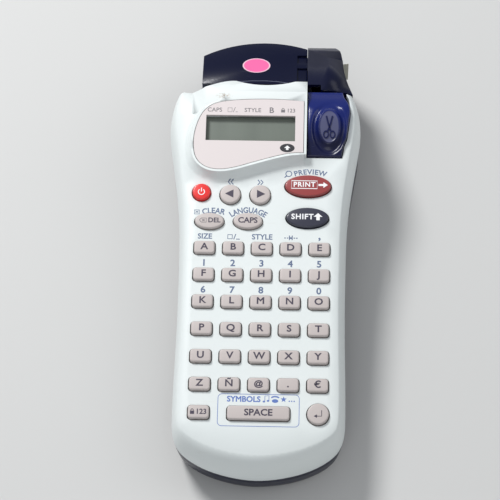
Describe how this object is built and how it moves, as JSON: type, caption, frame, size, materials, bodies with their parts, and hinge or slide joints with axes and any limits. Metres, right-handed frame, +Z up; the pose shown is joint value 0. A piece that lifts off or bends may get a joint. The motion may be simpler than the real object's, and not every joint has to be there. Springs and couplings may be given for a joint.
{
  "type": "label maker",
  "caption": "Handheld label maker lying on its back: white keyboard shell on a dark blue back shell, display, cutter lever, hinged cassette hood and a tape strip at the exit.",
  "frame": {"origin": "middle of the bounding box seen from above, on the table the object lies on", "axes": "+Y towards the head and the tape exit end, +X to the user's right, +Z up out of the key face"},
  "size_m": [0.0792, 0.1982, 0.0475],
  "materials": {
    "bezel_silver": "satin silver-pink plate",
    "blade_steel": "ground",
    "board": "solder-masked board",
    "brass": "machined",
    "casing_blue": "satin moulded ABS, dark blue",
    "casing_white": "satin moulded ABS",
    "cassette_grey": "moulded",
    "cell": "shrink sleeve",
    "ceramic": "thermal head on a metal back",
    "door_blue": "glossy tinted plastic, dark blue",
    "key_beige": "matt moulded key, printed letter",
    "key_navy": "satin",
    "key_print_red": "satin",
    "key_red": "satin",
    "lcd": "grey-green reflective display",
    "lever_blue": "satin moulded plastic, blue",
    "motor_metal": "plated can",
    "platen_rubber": "matt",
    "rubber": "silicone",
    "steel": "plated",
    "tape": "off-white tape"
  },
  "bodies": {
    "casing": {"front_casing": "casing_white", "back_casing": "casing_blue", "key_mat": "rubber", "circuit_board": "board", "display_bezel": "bezel_silver", "lcd_module": "lcd", "case_screws": "steel", "batteries": "cell", "battery_contacts": "steel", "tape_cassette": "cassette_grey", "label_strip": "tape", "print_head": "ceramic", "motor": "motor_metal"},
    "cassette_door": {"cassette_door": "door_blue"},
    "cutter": {"cutter_lever": "lever_blue", "cutter_blade": "blade_steel"},
    "battery_door": {"battery_door": "casing_blue"},
    "platen": {"platen_roller": "platen_rubber"},
    "pinion": {"motor_pinion": "brass"},
    "roll": {"tape_roll": "tape"},
    "key_a": {"key_a": "key_beige"},
    "key_b": {"key_b": "key_beige"},
    "key_c": {"key_c": "key_beige"},
    "key_d": {"key_d": "key_beige"},
    "key_e": {"key_e": "key_beige"},
    "key_f": {"key_f": "key_beige"},
    "key_g": {"key_g": "key_beige"},
    "key_h": {"key_h": "key_beige"},
    "key_i": {"key_i": "key_beige"},
    "key_j": {"key_j": "key_beige"},
    "key_k": {"key_k": "key_beige"},
    "key_l": {"key_l": "key_beige"},
    "key_m": {"key_m": "key_beige"},
    "key_n": {"key_n": "key_beige"},
    "key_o": {"key_o": "key_beige"},
    "key_p": {"key_p": "key_beige"},
    "key_q": {"key_q": "key_beige"},
    "key_r": {"key_r": "key_beige"},
    "key_s": {"key_s": "key_beige"},
    "key_t": {"key_t": "key_beige"},
    "key_u": {"key_u": "key_beige"},
    "key_v": {"key_v": "key_beige"},
    "key_w": {"key_w": "key_beige"},
    "key_x": {"key_x": "key_beige"},
    "key_y": {"key_y": "key_beige"},
    "key_z": {"key_z": "key_beige"},
    "key_n_tilde": {"key_n_tilde": "key_beige"},
    "key_at": {"key_at": "key_beige"},
    "key_dot": {"key_dot": "key_beige"},
    "key_euro": {"key_euro": "key_beige"},
    "key_lock_123": {"key_lock_123": "key_beige"},
    "key_space": {"key_space": "key_beige"},
    "key_enter": {"key_enter": "key_beige"},
    "key_power": {"key_power": "key_red"},
    "key_left": {"key_left": "key_beige"},
    "key_right": {"key_right": "key_beige"},
    "key_delete": {"key_delete": "key_beige"},
    "key_caps": {"key_caps": "key_beige"},
    "key_print": {"key_print": "key_print_red"},
    "key_shift": {"key_shift": "key_navy"}
  },
  "joints": [
    {"name": "cassette_door_hinge", "type": "hinge", "parent": "casing", "child": "cassette_door", "pos_m": [0, 0.09279, 0.0164], "axis": [-1, 0, 0], "range_deg": [0, 95]},
    {"name": "cutter_press", "type": "hinge", "parent": "casing", "child": "cutter", "pos_m": [0.026, 0.03547, 0.03415], "axis": [-1, 0, 0], "range_deg": [0, 15.5], "stiffness_Nm_per_rad": 0.35, "springref_deg": -6.88},
    {"name": "battery_door_slide", "type": "slide", "parent": "casing", "child": "battery_door", "axis": [0, -1, 0], "range_m": [0, 0.06]},
    {"name": "platen_spin", "type": "hinge", "parent": "casing", "child": "platen", "pos_m": [0.0219, 0.07869, 0.0228], "axis": [0, 0, 1], "continuous": true},
    {"name": "pinion_spin", "type": "hinge", "parent": "casing", "child": "pinion", "pos_m": [0.02226, 0.06835, 0.0102], "axis": [0, 0, 1], "continuous": true},
    {"name": "roll_spin", "type": "hinge", "parent": "casing", "child": "roll", "pos_m": [-0.0052, 0.06159, 0.0228], "axis": [0, 0, 1], "continuous": true},
    {"name": "key_print_press", "type": "slide", "parent": "casing", "child": "key_print", "axis": [0, 0.1045, -0.9945], "range_m": [0, 0.001], "stiffness_N_per_m": 200, "springref_m": -0.001},
    {"name": "key_shift_press", "type": "slide", "parent": "casing", "child": "key_shift", "axis": [0, 0.1045, -0.9945], "range_m": [0, 0.001], "stiffness_N_per_m": 200, "springref_m": -0.001},
    {"name": "key_space_press", "type": "slide", "parent": "casing", "child": "key_space", "axis": [0, 0.1045, -0.9945], "range_m": [0, 0.001], "stiffness_N_per_m": 200, "springref_m": -0.001},
    {"name": "key_enter_press", "type": "slide", "parent": "casing", "child": "key_enter", "axis": [0, 0.1045, -0.9945], "range_m": [0, 0.001], "stiffness_N_per_m": 200, "springref_m": -0.001},
    {"name": "key_power_press", "type": "slide", "parent": "casing", "child": "key_power", "axis": [0, 0.1045, -0.9945], "range_m": [0, 0.001], "stiffness_N_per_m": 200, "springref_m": -0.001},
    {"name": "key_a_press", "type": "slide", "parent": "casing", "child": "key_a", "axis": [0, 0.1045, -0.9945], "range_m": [0, 0.001], "stiffness_N_per_m": 200, "springref_m": -0.001},
    {"name": "key_b_press", "type": "slide", "parent": "casing", "child": "key_b", "axis": [0, 0.1045, -0.9945], "range_m": [0, 0.001], "stiffness_N_per_m": 200, "springref_m": -0.001},
    {"name": "key_c_press", "type": "slide", "parent": "casing", "child": "key_c", "axis": [0, 0.1045, -0.9945], "range_m": [0, 0.001], "stiffness_N_per_m": 200, "springref_m": -0.001},
    {"name": "key_d_press", "type": "slide", "parent": "casing", "child": "key_d", "axis": [0, 0.1045, -0.9945], "range_m": [0, 0.001], "stiffness_N_per_m": 200, "springref_m": -0.001},
    {"name": "key_e_press", "type": "slide", "parent": "casing", "child": "key_e", "axis": [0, 0.1045, -0.9945], "range_m": [0, 0.001], "stiffness_N_per_m": 200, "springref_m": -0.001},
    {"name": "key_f_press", "type": "slide", "parent": "casing", "child": "key_f", "axis": [0, 0.1045, -0.9945], "range_m": [0, 0.001], "stiffness_N_per_m": 200, "springref_m": -0.001},
    {"name": "key_g_press", "type": "slide", "parent": "casing", "child": "key_g", "axis": [0, 0.1045, -0.9945], "range_m": [0, 0.001], "stiffness_N_per_m": 200, "springref_m": -0.001},
    {"name": "key_h_press", "type": "slide", "parent": "casing", "child": "key_h", "axis": [0, 0.1045, -0.9945], "range_m": [0, 0.001], "stiffness_N_per_m": 200, "springref_m": -0.001},
    {"name": "key_i_press", "type": "slide", "parent": "casing", "child": "key_i", "axis": [0, 0.1045, -0.9945], "range_m": [0, 0.001], "stiffness_N_per_m": 200, "springref_m": -0.001},
    {"name": "key_j_press", "type": "slide", "parent": "casing", "child": "key_j", "axis": [0, 0.1045, -0.9945], "range_m": [0, 0.001], "stiffness_N_per_m": 200, "springref_m": -0.001},
    {"name": "key_k_press", "type": "slide", "parent": "casing", "child": "key_k", "axis": [0, 0.1045, -0.9945], "range_m": [0, 0.001], "stiffness_N_per_m": 200, "springref_m": -0.001},
    {"name": "key_l_press", "type": "slide", "parent": "casing", "child": "key_l", "axis": [0, 0.1045, -0.9945], "range_m": [0, 0.001], "stiffness_N_per_m": 200, "springref_m": -0.001},
    {"name": "key_m_press", "type": "slide", "parent": "casing", "child": "key_m", "axis": [0, 0.1045, -0.9945], "range_m": [0, 0.001], "stiffness_N_per_m": 200, "springref_m": -0.001},
    {"name": "key_n_press", "type": "slide", "parent": "casing", "child": "key_n", "axis": [0, 0.1045, -0.9945], "range_m": [0, 0.001], "stiffness_N_per_m": 200, "springref_m": -0.001},
    {"name": "key_o_press", "type": "slide", "parent": "casing", "child": "key_o", "axis": [0, 0.1045, -0.9945], "range_m": [0, 0.001], "stiffness_N_per_m": 200, "springref_m": -0.001},
    {"name": "key_p_press", "type": "slide", "parent": "casing", "child": "key_p", "axis": [0, 0.1045, -0.9945], "range_m": [0, 0.001], "stiffness_N_per_m": 200, "springref_m": -0.001},
    {"name": "key_q_press", "type": "slide", "parent": "casing", "child": "key_q", "axis": [0, 0.1045, -0.9945], "range_m": [0, 0.001], "stiffness_N_per_m": 200, "springref_m": -0.001},
    {"name": "key_r_press", "type": "slide", "parent": "casing", "child": "key_r", "axis": [0, 0.1045, -0.9945], "range_m": [0, 0.001], "stiffness_N_per_m": 200, "springref_m": -0.001},
    {"name": "key_s_press", "type": "slide", "parent": "casing", "child": "key_s", "axis": [0, 0.1045, -0.9945], "range_m": [0, 0.001], "stiffness_N_per_m": 200, "springref_m": -0.001},
    {"name": "key_t_press", "type": "slide", "parent": "casing", "child": "key_t", "axis": [0, 0.1045, -0.9945], "range_m": [0, 0.001], "stiffness_N_per_m": 200, "springref_m": -0.001},
    {"name": "key_u_press", "type": "slide", "parent": "casing", "child": "key_u", "axis": [0, 0.1045, -0.9945], "range_m": [0, 0.001], "stiffness_N_per_m": 200, "springref_m": -0.001},
    {"name": "key_v_press", "type": "slide", "parent": "casing", "child": "key_v", "axis": [0, 0.1045, -0.9945], "range_m": [0, 0.001], "stiffness_N_per_m": 200, "springref_m": -0.001},
    {"name": "key_w_press", "type": "slide", "parent": "casing", "child": "key_w", "axis": [0, 0.1045, -0.9945], "range_m": [0, 0.001], "stiffness_N_per_m": 200, "springref_m": -0.001},
    {"name": "key_x_press", "type": "slide", "parent": "casing", "child": "key_x", "axis": [0, 0.1045, -0.9945], "range_m": [0, 0.001], "stiffness_N_per_m": 200, "springref_m": -0.001},
    {"name": "key_y_press", "type": "slide", "parent": "casing", "child": "key_y", "axis": [0, 0.1045, -0.9945], "range_m": [0, 0.001], "stiffness_N_per_m": 200, "springref_m": -0.001},
    {"name": "key_z_press", "type": "slide", "parent": "casing", "child": "key_z", "axis": [0, 0.1045, -0.9945], "range_m": [0, 0.001], "stiffness_N_per_m": 200, "springref_m": -0.001},
    {"name": "key_n_tilde_press", "type": "slide", "parent": "casing", "child": "key_n_tilde", "axis": [0, 0.1045, -0.9945], "range_m": [0, 0.001], "stiffness_N_per_m": 200, "springref_m": -0.001},
    {"name": "key_at_press", "type": "slide", "parent": "casing", "child": "key_at", "axis": [0, 0.1045, -0.9945], "range_m": [0, 0.001], "stiffness_N_per_m": 200, "springref_m": -0.001},
    {"name": "key_dot_press", "type": "slide", "parent": "casing", "child": "key_dot", "axis": [0, 0.1045, -0.9945], "range_m": [0, 0.001], "stiffness_N_per_m": 200, "springref_m": -0.001},
    {"name": "key_euro_press", "type": "slide", "parent": "casing", "child": "key_euro", "axis": [0, 0.1045, -0.9945], "range_m": [0, 0.001], "stiffness_N_per_m": 200, "springref_m": -0.001},
    {"name": "key_lock_123_press", "type": "slide", "parent": "casing", "child": "key_lock_123", "axis": [0, 0.1045, -0.9945], "range_m": [0, 0.001], "stiffness_N_per_m": 200, "springref_m": -0.001},
    {"name": "key_left_press", "type": "slide", "parent": "casing", "child": "key_left", "axis": [0, 0.1045, -0.9945], "range_m": [0, 0.001], "stiffness_N_per_m": 200, "springref_m": -0.001},
    {"name": "key_right_press", "type": "slide", "parent": "casing", "child": "key_right", "axis": [0, 0.1045, -0.9945], "range_m": [0, 0.001], "stiffness_N_per_m": 200, "springref_m": -0.001},
    {"name": "key_delete_press", "type": "slide", "parent": "casing", "child": "key_delete", "axis": [0, 0.1045, -0.9945], "range_m": [0, 0.001], "stiffness_N_per_m": 200, "springref_m": -0.001},
    {"name": "key_caps_press", "type": "slide", "parent": "casing", "child": "key_caps", "axis": [0, 0.1045, -0.9945], "range_m": [0, 0.001], "stiffness_N_per_m": 200, "springref_m": -0.001}
  ],
  "couplings": [
    {"joint": "pinion_spin", "follows": "platen_spin", "ratio": -1.4286},
    {"joint": "roll_spin", "follows": "platen_spin", "ratio": 0.22857}
  ]
}
